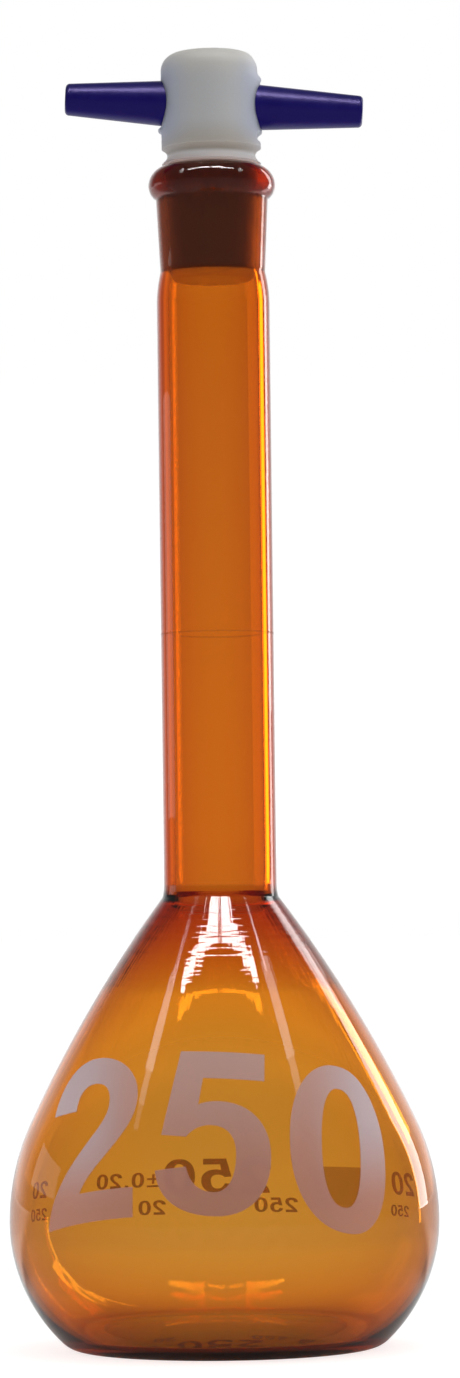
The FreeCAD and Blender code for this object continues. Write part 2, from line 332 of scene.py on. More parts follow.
def closed_rings(rings, first_pole, last_pole):
    """Points and faces of rings stacked from pole to pole: quads between rings, fans at the poles."""
    rows, columns = rings.shape[:2]
    points = np.concatenate([rings.reshape(-1, 3), [first_pole, last_pole]])
    row, column = np.meshgrid(np.arange(rows - 1), np.arange(columns), indexing="ij")
    right = (column + 1) % columns
    quads = np.stack([
        row * columns + column,
        row * columns + right,
        (row + 1) * columns + right,
        (row + 1) * columns + column,
    ], axis=-1).reshape(-1, 4)
    here = np.arange(columns)
    after = (here + 1) % columns
    last = (rows - 1) * columns
    first_fan = np.stack([np.full(columns, rows * columns), after, here], axis=-1)
    last_fan = np.stack([np.full(columns, rows * columns + 1), last + here, last + after], axis=-1)
    return points, quads.tolist() + first_fan.tolist() + last_fan.tolist()


def sheet(face, back, closed):
    """Points and faces of a closed sheet between two like grids, with a rim; closed joins its ends."""
    rows, columns = face.shape[:2]
    count = rows * columns
    points = np.concatenate([face.reshape(-1, 3), back.reshape(-1, 3)])
    spans = rows if closed else rows - 1
    row, column = np.meshgrid(np.arange(spans), np.arange(columns - 1), indexing="ij")
    below = (row + 1) % rows
    quads = np.stack([
        row * columns + column,
        below * columns + column,
        below * columns + column + 1,
        row * columns + column + 1,
    ], axis=-1).reshape(-1, 4)
    here = np.arange(spans)
    after = (here + 1) % rows
    left = np.stack([here * columns, after * columns], axis=-1)
    right = left[:, ::-1] + columns - 1
    borders = [left, right]
    if not closed:
        step = np.arange(columns - 1)
        borders.append(np.stack([step + 1, step], axis=-1))
        borders.append(np.stack([step, step + 1], axis=-1) + (rows - 1) * columns)
    border = np.concatenate(borders)
    rim = np.concatenate([border, border[:, ::-1] + count], axis=1)
    return points, np.concatenate([quads, quads[:, ::-1] + count, rim])


def add_piece(name, points, faces, sharp=None):
    """A smooth mesh object at the origin from points and faces; edges over the sharp angle stay sharp."""
    mesh = bpy.data.meshes.new(name)
    mesh.from_pydata(np.asarray(points).tolist(), [], faces)
    mesh.update()
    mesh.shade_smooth()
    if sharp is not None:
        mesh.set_sharp_from_angle(angle=sharp)
    piece = bpy.data.objects.new(name, mesh)
    bpy.context.scene.collection.objects.link(piece)
    return piece


def face_outwards(piece):
    """Turns every closed shell of a piece so that its faces point outwards."""
    shell = bmesh.new()
    shell.from_mesh(piece.data)
    bmesh.ops.recalc_face_normals(shell, faces=shell.faces)
    shell.to_mesh(piece.data)
    shell.free()


def dress(piece, body, material):
    """Gives a piece its body and its material."""
    piece.data.materials.append(material)
    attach(piece, body)


# Glass

def lower_belly_arc():
    """Radius of the curve that leaves the widest place upright and runs into the heel."""
    drop = BELLY_HEIGHT - HEEL_OUTSIDE
    return (drop ** 2 + FOOT_INSET ** 2 - HEEL_OUTSIDE ** 2) / (2 * (FOOT_INSET - HEEL_OUTSIDE))


def shoulder_centre(inset, shoulder):
    """Centre of a shoulder circle that runs on from the upper belly, whose circles share their centre."""
    normal = np.array([math.cos(UPPER_BELLY_SWEEP), math.sin(UPPER_BELLY_SWEEP)])
    upper_centre = np.array([BELLY_RADIUS - UPPER_BELLY_ARC, BELLY_HEIGHT])
    return upper_centre - normal * (shoulder - UPPER_BELLY_ARC + inset)


def belly_outline(inset, lower, heel_round, floor):
    """The belly's wall from the floor up to the shoulder, as arcs that run into each other.

    Each circle touches the next, so their centres follow from the radii; inset is the depth below the
    outside.
    """
    upper_centre = (BELLY_RADIUS - UPPER_BELLY_ARC, BELLY_HEIGHT)
    lower_centre = (BELLY_RADIUS - inset - lower, BELLY_HEIGHT)
    turn = math.asin((BELLY_HEIGHT - floor - heel_round) / (lower - heel_round))
    heel_centre = (lower_centre[0] + (lower - heel_round) * math.cos(turn), floor + heel_round)
    return joined(
        arc(heel_centre, heel_round, -math.pi / 2, -turn, count=14),
        arc(lower_centre, lower, -turn, 0, count=18),
        arc(upper_centre, UPPER_BELLY_ARC - inset, 0, UPPER_BELLY_SWEEP, count=18),
    )


def outside_of_bulb():
    """Outside from the foot up to the neck: belly, long shoulder, and the neck's flare above the crease."""
    centre = shoulder_centre(0, SHOULDER_ARC)
    crease = NECK_RADIUS + NECK_FLARE * (1 - math.cos(FLARE_SWEEP))
    lean = math.acos((crease - centre[0]) / SHOULDER_ARC)
    flare_height = centre[1] + SHOULDER_ARC * math.sin(lean) + NECK_FLARE * math.sin(FLARE_SWEEP)
    return joined(
        belly_outline(0, lower_belly_arc(), HEEL_OUTSIDE, 0),
        arc(centre, SHOULDER_ARC, UPPER_BELLY_SWEEP, lean, count=36),
        arc((NECK_RADIUS + NECK_FLARE, flare_height), NECK_FLARE, math.pi + FLARE_SWEEP, math.pi, count=12),
    )


def inside_of_bulb(wall, base, bore):
    """Inside from the floor up to the bore: belly, shoulder, slight bend, collar and the neck's rounding."""
    centre = shoulder_centre(wall, SHOULDER_INSIDE)
    bend = math.asin((BEND_HEIGHT - centre[1]) / SHOULDER_INSIDE)
    turned = bend + BEND_TURN
    bend_point = centre + SHOULDER_INSIDE * np.array([math.cos(bend), math.sin(bend)])
    collar = bend_point - COLLAR_INSIDE * np.array([math.cos(turned), math.sin(turned)])
    lean = math.acos((bore + NECK_CREASE - collar[0]) / (COLLAR_INSIDE + NECK_CREASE))
    neck_height = collar[1] + (COLLAR_INSIDE + NECK_CREASE) * math.sin(lean)
    return joined(
        belly_outline(wall, LOWER_INSIDE, HEEL_INSIDE, base),
        arc(centre, SHOULDER_INSIDE, UPPER_BELLY_SWEEP, bend, count=26),
        arc(collar, COLLAR_INSIDE, turned, lean, count=18),
        arc((bore + NECK_CREASE, neck_height), NECK_CREASE, math.pi + lean, math.pi, count=14),
    )


def dome(radius, height, rise, count):
    """Points from the axis out to a radius, on the circle that bulges up by a rise at the axis."""
    bow = (radius ** 2 + rise ** 2) / (2 * rise)
    spots = np.linspace(0, radius, count)
    return np.stack([spots, height + rise - bow + np.sqrt(bow ** 2 - spots ** 2)], axis=1)


def ground_radius(height):
    """Radius of the ground cone, which narrows downwards by the taper."""
    return MOUTH_RADIUS - (LIP_HEIGHT - height) * TAPER / 2


def shank_radius(height, neck, pinch):
    """Radius of the neck's wall, which draws in on a circle between the socket's seam and the pinch."""
    draw = neck - pinch
    length = PINCH_HEIGHT - SOCKET_SEAM
    bow = (length ** 2 + draw ** 2) / (2 * draw)
    rise = np.clip(height - SOCKET_SEAM, 0, bow)
    return neck - bow + np.sqrt(bow ** 2 - rise ** 2)


def neck_heights(start, end):
    """Heights along the neck and socket, close together where the wall bends."""
    plain = np.linspace(start, SOCKET_SEAM - MM, 12)
    return np.concatenate([plain, np.linspace(SOCKET_SEAM, end, 84)])


def neck_outside():
    """Neck, pinch, socket and the bead's lower half: the largest of neck, cone and bead at every height."""
    height = neck_heights(NECK_START, BEAD_MIDDLE)
    pinch = ground_radius(PINCH_HEIGHT) + SOCKET_WALL
    neck = shank_radius(height, NECK_RADIUS, pinch)
    cone = ground_radius(height) + SOCKET_WALL
    below = np.clip(BEAD_MIDDLE - height, 0, BEAD_LOWER_ARC)
    bead = BEAD_RADIUS - BEAD_LOWER_ARC + np.sqrt(BEAD_LOWER_ARC ** 2 - below ** 2)
    radius = soft_max(soft_max(neck, cone, MELT), bead, MELT)
    radius[0] = NECK_RADIUS
    radius[-1] = BEAD_RADIUS
    return np.stack([radius, height], axis=1)


def neck_inside(start, neck):
    """Ground bore and neck bore from the lip down to the crease: the larger of neck and cone."""
    height = neck_heights(start, LIP_HEIGHT - 2 * LIP_EDGE)[::-1]
    shank = shank_radius(height, neck, ground_radius(PINCH_HEIGHT))
    radius = soft_max(shank, ground_radius(height), BORE_MELT)
    radius[-1] = neck
    return np.stack([radius, height], axis=1)


def lip():
    """Upper half of the bead, then the small rounding into the ground bore."""
    edge_radius = MOUTH_RADIUS + LIP_EDGE
    bead_centre = BEAD_RADIUS - BEAD_UPPER_ARC
    over = math.acos((edge_radius - bead_centre) / BEAD_UPPER_ARC)
    edge_height = BEAD_MIDDLE + BEAD_UPPER_ARC * math.sin(over)
    return joined(
        arc((bead_centre, BEAD_MIDDLE), BEAD_UPPER_ARC, 0, over, count=20),
        arc((edge_radius, edge_height - LIP_EDGE), LIP_EDGE, over, math.pi, count=10),
    )


def glass_outline(glass):
    """Half section of the whole glass: base, outside, lip, inside and floor, from axis to axis."""
    neck_bore = NECK_RADIUS - glass.neck_wall
    outer = outside_of_bulb()
    inner = inside_of_bulb(glass.bulb_wall, glass.base_wall, neck_bore)[::-1]
    foot_inner = outer[0, 0] - FOOT_WIDTH
    return joined(
        dome(foot_inner, 0, PUNT_RISE, count=14),
        straight((foot_inner, 0), outer[0], count=3),
        outer,
        neck_outside(),
        lip(),
        neck_inside(inner[0, 1], neck_bore)[1:],
        inner,
        dome(inner[-1, 0], glass.base_wall, PUNT_RISE, count=16)[::-1],
    )


# Print

# Both edges of each numeral's stroke, in millimetres, as chains of cubic curves
TWO_OUTER = [
    (-10.6, 21.4),
    (-10.4, 27.2), (-5.9, 31.1), (0.4, 31.1),
    (6.4, 31.1), (10.6, 27.9), (10.6, 22.8),
    (10.6, 18.9), (8.3, 15.8), (4.6, 12.2),
    (2.0, 9.7), (-0.4, 7.9), (-1.6, 5.4),
    (2.3, 5.4), (6.1, 5.4), (10.0, 5.4),
]
TWO_INNER = [
    (-3.7, 21.2),
    (-3.7, 24.2), (-2.1, 26.0), (0.6, 26.0),
    (3.2, 26.0), (4.6, 24.6), (4.6, 22.3),
    (4.6, 19.4), (2.9, 17.5), (-0.6, 14.1),
    (-4.8, 10.0), (-9.5, 5.6), (-9.8, 0.0),
    (-3.2, 0.0), (3.4, 0.0), (10.0, 0.0),
]
FIVE_OUTER = [
    (9.1, 31.1),
    (4.0, 31.1), (-1.0, 31.1), (-6.1, 31.1),
    (-7.2, 25.6), (-8.4, 20.2), (-9.5, 14.7),
    (-8.0, 14.6), (-6.4, 14.4), (-4.9, 14.3),
    (-3.9, 15.7), (-2.4, 16.6), (-0.4, 16.6),
    (2.5, 16.6), (4.1, 14.6), (4.1, 11.3),
    (4.1, 6.9), (2.6, 4.2), (0.0, 4.2),
    (-2.5, 4.2), (-4.3, 5.7), (-4.9, 8.7),
]
FIVE_INNER = [
    (9.1, 25.8),
    (5.4, 25.8), (1.7, 25.8), (-2.0, 25.8),
    (-2.2, 24.2), (-2.5, 22.7), (-2.7, 21.1),
    (-2.73, 20.9), (-2.77, 20.7), (-2.8, 20.5),
    (-2.0, 21.0), (-0.6, 21.3), (1.0, 21.3),
    (6.6, 21.3), (10.4, 17.4), (10.4, 11.3),
    (10.4, 4.3), (6.2, -0.1), (0.0, -0.1),
    (-6.2, -0.1), (-10.2, 3.0), (-10.6, 8.1),
]

# Edges of the zero: half its width and height in millimetres, and the power that squares it off
ZERO_OUTER = (10.5, 15.6, 2.25)
ZERO_INNER = (4.25, 11.1, 2.4)

# Height that the numerals are drawn at, in millimetres
NUMERAL_HEIGHT = 31.2

# Points along each curve of a stroke's edge, round the zero and across every stroke
TWO_POINTS = 15
FIVE_POINTS = 13
ZERO_POINTS = 96
STROKE_POINTS = 5


def cubic(handles, count):
    """Points of a chain of cubic curves: the cubic Bernstein polynomials of every four handles."""
    handles = np.array(handles)
    share = np.linspace(0, 1, count)[:, None]
    runs = []
    for start in range(0, len(handles) - 1, 3):
        a, b, c, d = handles[start:start + 4]
        runs.append(
            a * (1 - share) ** 3 + 3 * b * share * (1 - share) ** 2
            + 3 * c * share ** 2 * (1 - share) + d * share ** 3)
    return joined(*runs)


def ruled(first, second, count):
    """A flat grid whose rows run straight from one outline to the other."""
    share = np.linspace(0, 1, count)[None, :, None]
    return first[:, None] * (1 - share) + second[:, None] * share


def two():
    """The 2: straight rows between both edges of its stroke, open at the ends."""
    return ruled(cubic(TWO_OUTER, TWO_POINTS), cubic(TWO_INNER, TWO_POINTS), STROKE_POINTS), False


def five():
    """The 5: straight rows between both edges of its stroke, open at the ends."""
    return ruled(cubic(FIVE_OUTER, FIVE_POINTS), cubic(FIVE_INNER, FIVE_POINTS), STROKE_POINTS), False


def super_ellipse(half_width, half_height, power, count):
    """A closed curve between an ellipse and a box, round the zero's middle: cosine and sine to 2 / power."""
    angle = np.linspace(0, 2 * np.pi, count, endpoint=False)
    across = np.sign(np.cos(angle)) * np.abs(np.cos(angle)) ** (2 / power)
    up = np.sign(np.sin(angle)) * np.abs(np.sin(angle)) ** (2 / power)
    return np.stack([half_width * across, half_height * up + ZERO_OUTER[1]], axis=1)


def zero():
    """The 0: straight rows between two curves, one inside the other, closed all round."""
    outer = super_ellipse(*ZERO_OUTER, ZERO_POINTS)
    inner = super_ellipse(*ZERO_INNER, ZERO_POINTS)
    return ruled(outer, inner, STROKE_POINTS), True


def bar(left, right, bottom, top):
    """A plain rectangle as a flat grid."""
    first = straight((left, top), (right, top), count=9)
    second = straight((left, bottom), (right, bottom), count=9)
    return ruled(first, second, STROKE_POINTS), False


# Shapes that each sign is made of; a bar has its left, right, bottom and top in millimetres
NUMERALS = {
    "2": [two],
    "5": [five],
    "0": [zero],
    ".": [lambda: bar(-2.8, 2.8, 0, 5.6)],
    "±": [
        lambda: bar(-10, 10, 0, 4),
        lambda: bar(-10, 10, 15, 19),
        lambda: bar(-2, 2, 19, 27),
        lambda: bar(-2, 2, 7, 15),
    ],
}

# How far the pen moves on after each sign, in millimetres
ADVANCE = {"2": 25.0, "5": 25.0, "0": 25.0, ".": 13.0, "±": 26.0}


class Wrap:
    """Lays flat print round the bulb: up the print is along the wall, across it is round the axis.

    A point (across, up) lands at the wall length up - across^2 / (2 * bow) + tilt * across above the
    baseline, so that a long line bows down at its ends, and at the turn across / radius at that place.
    """

    def __init__(self, turn, baseline, bow=math.inf, tilt=0.0):
        """Measures the wall: its length from the foot and its normal at every point of the outline."""
        outline = outside_of_bulb()
        self.length = np.concatenate([[0], np.cumsum(np.hypot(*np.diff(outline, axis=0).T))])
        self.outline = outline
        slope = np.gradient(outline, self.length, axis=0)
        self.normal = np.stack([slope[:, 1], -slope[:, 0]], axis=1)
        self.start = np.interp(baseline, outline[:, 1], self.length)
        self.turn = turn
        self.bow = bow
        self.tilt = tilt

    def __call__(self, flat, offset):
        """The places of flat points on the wall, moved out along its normal by an offset."""
        across, up = np.moveaxis(flat, -1, 0)
        along = self.start + up + self.tilt * across - across ** 2 / (2 * self.bow)
        radius = np.interp(along, self.length, self.outline[:, 0])
        height = np.interp(along, self.length, self.outline[:, 1])
        angle = self.turn + across / radius
        radius = radius + offset * np.interp(along, self.length, self.normal[:, 0])
        height = height + offset * np.interp(along, self.length, self.normal[:, 1])
        return np.stack([radius * np.sin(angle), -radius * np.cos(angle), height], axis=-1)


# Gap between the glass and the print, so that their faces never meet
PRINT_GAP = 0.02 * MM

# The large number: each numeral and the place of its middle in millimetres, and the bow and tilt of its line
LARGE_NUMBER = [("2", -24.9), ("5", 0.0), ("0", 24.4)]
LARGE_BOW = 117 * MM
LARGE_TILT = -0.046

# Plain numbers on the back: text, turn from the middle of the back, baseline and height
BACK_NUMBERS = [
    ("±0.20", math.radians(29.0), 28.1 * MM, 3.0 * MM),
    ("250", math.radians(2.0), 26.6 * MM, 7.0 * MM),
    ("20", math.radians(21.0), 22.6 * MM, 2.9 * MM),
    ("250", math.radians(-15.0), 22.8 * MM, 2.9 * MM),
    ("20", math.radians(-63.0), 27.0 * MM, 4.6 * MM),
    ("250", math.radians(-60.0), 22.8 * MM, 2.2 * MM),
    ("20", math.radians(66.0), 27.4 * MM, 3.4 * MM),
    ("250", math.radians(66.0), 23.0 * MM, 2.4 * MM),
]

# How much wider than the large number's the numerals on the back are drawn
BACK_WIDTH = 1.35

# Plain field for notes on the back: turn from the middle of the back, baseline, width and height
FIELD = (math.radians(-35.0), 23.4 * MM, 13.0 * MM, 8.6 * MM)


def printed(name, laid, thickness):
    """One piece from (flat grid, closed, wrap) entries, each raised from the glass as a closed sheet."""
    points, faces, count = [], [], 0
    for flat, closed, wrap in laid:
        spots, quads = sheet(wrap(flat, PRINT_GAP + thickness), wrap(flat, PRINT_GAP), closed)
        points.append(spots)
        faces.append(quads + count)
        count += len(spots)
    piece = add_piece(name, np.concatenate(points), np.concatenate(faces).tolist(), sharp=PRINT_SHARP)
    face_outwards(piece)
    return piece


def large_number(settings):
    """The volume on the front: its numerals side by side on one bowed and tilted line."""
    wrap = Wrap(settings.centre_turn, settings.baseline, LARGE_BOW, LARGE_TILT)
    laid = []
    for numeral, middle in LARGE_NUMBER:
        for shape in NUMERALS[numeral]:
            flat, closed = shape()
            laid.append(((flat + (middle, 0)) * MM, closed, wrap))
    return printed("volume_number", laid, settings.thickness)


def back_numbers(settings):
    """Plain numbers on the back: each text is centred on its turn and scaled to its height."""
    laid = []
    for text, turn, baseline, height in BACK_NUMBERS:
        wrap = Wrap(math.pi + turn, baseline)
        scale = height / NUMERAL_HEIGHT * np.array([BACK_WIDTH, 1.0])
        pen = -sum(ADVANCE[sign] for sign in text) / 2
        for sign in text:
            for shape in NUMERALS[sign]:
                flat, closed = shape()
                laid.append(((flat + (pen + ADVANCE[sign] / 2, 0)) * scale, closed, wrap))
            pen += ADVANCE[sign]
    return printed("back_numbers", laid, settings.thickness)


def note_field(settings):
    """The field for notes on the back: one plain rectangle."""
    turn, baseline, width, height = FIELD
    flat, closed = bar(-width / 2, width / 2, 0, height)
    return printed("note_field", [(flat, closed, Wrap(math.pi + turn, baseline))], settings.thickness)


# Stopper and handle

def stopper_outline():
    """Half section of the stopper: tip, cone, skirt, relief groove, head and crown, from axis to axis.

    The groove is the quadratic curve from the skirt to the head's edge that passes through the waist.
    """
    cone_top = LIP_HEIGHT + CONE_PROUD
    head_bottom = LIP_HEIGHT + HEAD_RISE
    shoulder = HEAD_TOP - HEAD_CROWN - HEAD_EDGE
    tip_radius = ground_radius(PLUG_TIP) - GROUND_FIT
    chamfer_top = PLUG_TIP + PLUG_CHAMFER
    tip_edge = (tip_radius - PLUG_CHAMFER, PLUG_TIP)
    cone_start = (ground_radius(chamfer_top) - GROUND_FIT, chamfer_top)
    cone_end = np.array([ground_radius(cone_top) - GROUND_FIT, cone_top])
    skirt = np.array([MOUTH_RADIUS + SKIRT_OVERHANG, cone_top])
    head_edge = np.array([HEAD_RADIUS, head_bottom])
    waist = np.array([WAIST_RADIUS, LIP_HEIGHT + WAIST_RISE])
    share = np.linspace(0, 1, 24)[:, None]
    pull = 2 * waist - (skirt + head_edge) / 2
    groove = skirt * (1 - share) ** 2 + 2 * pull * share * (1 - share) + head_edge * share ** 2
    crown = HEAD_RADIUS - HEAD_EDGE
    return joined(
        straight((0, PLUG_TIP), tip_edge, count=8),
        straight(tip_edge, cone_start, count=4),
        straight(cone_start, cone_end, count=30),
        straight(cone_end, skirt, count=4),
        groove,
        straight(head_edge, (HEAD_RADIUS, shoulder), count=60),
        arc((crown, shoulder), HEAD_EDGE, 0, math.pi / 2, count=24),
        dome(crown, HEAD_TOP - HEAD_CROWN, HEAD_CROWN, count=12)[::-1],
    )


# Marks on the stopper's head: turn and half the width in degrees, then height above the lip, half the height
# and how far the mark stands out or, below zero, lies in, all in millimetres
HEAD_MARKS = (
    (90, 42, 18.4, 2.1, -0.5),
    (90, 17, 5.0, 0.62, -1.2),
    (-90, 9, 6.7, 0.5, 0.6),
    (90, 9, 16.1, 0.5, 0.3),
    (90, 9, 6.3, 0.5, 0.25),
)


def marked(rings):
    """Moves rings of points in or out by a smooth bump for every mark.

    A bump is its depth times e to minus the fourth powers of the distances from its middle, in half sizes.
    """
    turn = np.degrees(np.arctan2(rings[..., 0], -rings[..., 1]))
    height = (rings[..., 2] - LIP_HEIGHT) / MM
    radius = np.hypot(rings[..., 0], rings[..., 1])
    shift = np.zeros_like(radius)
    for middle, half_turn, level, half_height, depth in HEAD_MARKS:
        away = ((turn - middle + 180) % 360 - 180) / half_turn
        shift += depth * MM * np.exp(-away ** 4 - ((height - level) / half_height) ** 4)
    scale = 1 + shift / radius
    return np.stack([rings[..., 0] * scale, rings[..., 1] * scale, rings[..., 2]], axis=-1)


def handle_point(along, across, depth):
    """Turns a point along the handle's own axis to its tilt and lifts it to the handle's height."""
    return np.stack([
        along * math.cos(HANDLE_TILT) + across * math.sin(HANDLE_TILT),
        depth,
        HANDLE_HEIGHT - along * math.sin(HANDLE_TILT) + across * math.cos(HANDLE_TILT),
    ], axis=-1)


def handle_outline(settings):
    """Half section of the bar along its axis: rounded tip, taper, even middle, taper, rounded tip."""
    tip = settings.tip_diameter / 2
    flat = tip - TIP_ROUND
    middle = settings.handle_diameter / 2
    barrel = HEAD_RADIUS - BARREL_INSET
    left = HANDLE_SHIFT - settings.handle_length / 2
    right = HANDLE_SHIFT + settings.handle_length / 2
    return joined(
        straight((0, left), (flat, left), count=5),
        arc((flat, left + TIP_ROUND), TIP_ROUND, -math.pi / 2, 0, count=10),
        straight((tip, left + TIP_ROUND), (middle, -barrel), count=20),
        straight((middle, -barrel), (middle, barrel), count=10),
        straight((middle, barrel), (tip, right - TIP_ROUND), count=20),
        arc((flat, right - TIP_ROUND), TIP_ROUND, 0, math.pi / 2, count=10),
        straight((flat, right), (0, right), count=5),
    )


def turned_bar(name, outline):
    """A piece turned from a half section and laid along the handle's axis."""
    rings, first, last = revolved(outline, HANDLE_SEGMENTS)
    placed = handle_point(rings[..., 2], rings[..., 0], rings[..., 1])
    ends = [handle_point(np.array(pole[2]), np.array(0.0), np.array(0.0)) for pole in (first, last)]
    piece = add_piece(name, *closed_rings(placed, *ends), sharp=STOPPER_SHARP)
    face_outwards(piece)
    return piece


def cross_bored(piece, settings):
    """Cuts the handle's bore through a piece and keeps the result as its mesh."""
    reach = 2 * HEAD_RADIUS
    radius = settings.handle_diameter / 2 + HANDLE_FIT
    cutter = turned_bar("bore", joined(
        straight((0, -reach), (radius, -reach), count=4),
        straight((radius, -reach), (radius, reach), count=4),
        straight((radius, reach), (0, reach), count=4),
    ))
    cut = piece.modifiers.new("bore", "BOOLEAN")
    cut.operation = "DIFFERENCE"
    cut.solver = "EXACT"
    cut.object = cutter
    whole = piece.data
    bored = piece.evaluated_get(bpy.context.evaluated_depsgraph_get())
    piece.data = bpy.data.meshes.new_from_object(bored)
    piece.modifiers.clear()
    piece.data.name = piece.name
    piece.data.set_sharp_from_angle(angle=STOPPER_SHARP)
    bpy.data.objects.remove(cutter)
    bpy.data.meshes.remove(whole)


# Materials

def feed(tree, socket, value):
    """Links a node's input to another socket, or sets it to a value; a colour gets a full fourth number."""
    if isinstance(value, bpy.types.NodeSocket):
        tree.links.new(value, socket)
    elif socket.type == "RGBA":
        socket.default_value = (*value[:3], 1)
    else:
        socket.default_value = value


def set_inputs(tree, node, **inputs):
    """Feeds a node's inputs by their names, with a low line for each space."""
    for name, value in inputs.items():
        feed(tree, node.inputs[name.replace("_", " ")], value)
    return node


def add_node(tree, kind, **inputs):
    """A new shader node with its named inputs fed."""
    return set_inputs(tree, tree.nodes.new(kind), **inputs)


def maths(tree, operation, first, second=0.0, clamp=False):
    """The output of a Math node on two numbers or sockets."""
    node = tree.nodes.new("ShaderNodeMath")
    node.operation = operation
    node.use_clamp = clamp
    for socket, value in zip(node.inputs, (first, second)):
        feed(tree, socket, value)
    return node.outputs[0]


def product(tree, first, *others):
    """The product of two or more numbers or sockets, multiplied from left to right."""
    for other in others:
        first = maths(tree, "MULTIPLY", first, other)
    return first


def blend(tree, share, first, second):
    """A colour between two colours, by a share from 0 to 1."""
    node = tree.nodes.new("ShaderNodeMix")
    node.data_type = "RGBA"
    for socket, value in zip((node.inputs[0], *node.inputs[6:8]), (share, first, second)):
        feed(tree, socket, value)
    return node.outputs[2]


def ramp(tree, value, low, high):
    """A smooth step of a value, 0 below low and 1 above high."""
    node = add_node(tree, "ShaderNodeMapRange", Value=value, From_Min=low, From_Max=high)
    node.interpolation_type = "SMOOTHSTEP"
    return node.outputs["Result"]


def mixed(tree, share, first, second):
    """A number between two numbers, by a share from 0 to 1."""
    node = tree.nodes.new("ShaderNodeMix")
    for socket, value in zip((node.inputs[0], *node.inputs[2:4]), (share, first, second)):
        feed(tree, socket, value)
    return node.outputs[0]


def new_material(name):
    """A material with an empty node tree, its tree and its output node."""
    material = bpy.data.materials.new(name)
    material.use_nodes = True
    tree = material.node_tree
    tree.nodes.clear()
    return material, tree, tree.nodes.new("ShaderNodeOutputMaterial")


def place_parts(tree):
    """Object coordinates, whole and as X, Y and Z."""
    place = tree.nodes.new("ShaderNodeTexCoord").outputs["Object"]
    return place, add_node(tree, "ShaderNodeSeparateXYZ", Vector=place).outputs


def axis_distance(tree, parts):
    """Distance from the flask's axis: the root of X squared plus Y squared."""
    across = maths(tree, "POWER", parts["X"], 2.0)
    deep = maths(tree, "POWER", parts["Y"], 2.0)
    return maths(tree, "SQRT", maths(tree, "ADD", across, deep))


def noise(tree, place, scale, detail):
    """A noise texture on given coordinates, as a value round one half."""
    return add_node(tree, "ShaderNodeTexNoise", Vector=place, Scale=scale, Detail=detail).outputs["Fac"]


def stretched(tree, place, stretch):
    """Coordinates scaled along each axis, so that a pattern is drawn out along one of them."""
    return add_node(tree, "ShaderNodeMapping", Vector=place, Scale=stretch).outputs["Vector"]


# Inputs of the shared grain and their defaults: sizes of its two noises, then levels
GRAIN_LEVELS = {"Fine": 2500.0, "Coarse": 160.0, "Roughness": 0.45, "Spread": 0.1, "Shading": 0.1}

# Depth of the grain's bump at full strength
GRAIN_DEPTH = 0.05 * MM


def grain_group():
    """Shared grain of moulded, turned and fired surfaces: colour, roughness and height from two noises.

    The swing is the mean of a fine and a coarse noise, less one half. It shades the colour by the shading
    and moves the roughness by the spread; the height is the fine noise.
    """
    group = bpy.data.node_groups.get("surface_grain")
    if group:
        return group
    group = bpy.data.node_groups.new("surface_grain", "ShaderNodeTree")
    for name, default in GRAIN_LEVELS.items():
        socket = group.interface.new_socket(name, in_out="INPUT", socket_type="NodeSocketFloat")
        socket.default_value = default
    group.interface.new_socket("Colour", in_out="INPUT", socket_type="NodeSocketColor")
    group.interface.new_socket("Colour", in_out="OUTPUT", socket_type="NodeSocketColor")
    group.interface.new_socket("Roughness", in_out="OUTPUT", socket_type="NodeSocketFloat")
    group.interface.new_socket("Height", in_out="OUTPUT", socket_type="NodeSocketFloat")
    source = group.nodes.new("NodeGroupInput")
    result = group.nodes.new("NodeGroupOutput")
    place = group.nodes.new("ShaderNodeTexCoord").outputs["Object"]
    fine = noise(group, place, source.outputs["Fine"], 3.0)
    coarse = noise(group, place, source.outputs["Coarse"], 4.0)
    both = maths(group, "ADD", product(group, fine, 0.5), product(group, coarse, 0.5))
    swing = maths(group, "SUBTRACT", both, 0.5)
    shade = maths(group, "ADD", product(group, swing, source.outputs["Shading"]), 1.0)
    tinted = group.nodes.new("ShaderNodeVectorMath")
    tinted.operation = "SCALE"
    group.links.new(source.outputs["Colour"], tinted.inputs[0])
    group.links.new(shade, tinted.inputs["Scale"])
    rough = product(group, swing, source.outputs["Spread"])
    rough = maths(group, "ADD", rough, source.outputs["Roughness"], clamp=True)
    set_inputs(group, result, Colour=tinted.outputs["Vector"], Roughness=rough, Height=fine)
    return group


def grained(name, colour, bump, **levels):
    """A dull material with the shared grain in its colour, roughness and bump, its shader and its grain."""
    material, tree, output = new_material(name)
    grain = tree.nodes.new("ShaderNodeGroup")
    grain.node_tree = grain_group()
    set_inputs(tree, grain, Colour=colour, **levels)
    shader = add_node(
        tree, "ShaderNodeBsdfPrincipled",
        Base_Color=grain.outputs["Colour"], Roughness=grain.outputs["Roughness"])
    relief = add_node(
        tree, "ShaderNodeBump", Strength=bump, Distance=GRAIN_DEPTH, Height=grain.outputs["Height"])
    set_inputs(tree, shader, Normal=relief.outputs["Normal"])
    set_inputs(tree, output, Surface=shader.outputs["BSDF"])
    return material, shader, grain


# Where the grinding sets in, counted up from the pinch, where it ends, counted down from the lip, and how
# rough it is
GROUND_START = (-0.5 * MM, -0.3 * MM)
GROUND_END = (0, MM)
GROUND_ROUGHNESS = 0.5

# Marks of the forming: half the height over which those of the neck take over, then for each kind its scale,
# the heights over which it sets in and its weight
NECK_BLEND = 3 * MM
RING_STRETCH = (8, 8, 1100)
RING_EDGES = (0.42, 0.58)
RING_HEIGHTS = (62 * MM, 76 * MM)
RING_WEIGHT = 0.3
FLUTE_SCALE = 26.0
FLUTE_HEIGHTS = (56 * MM, 70 * MM)
FLUTE_WEIGHT = 1.4
LINE_SCALE = 9.0


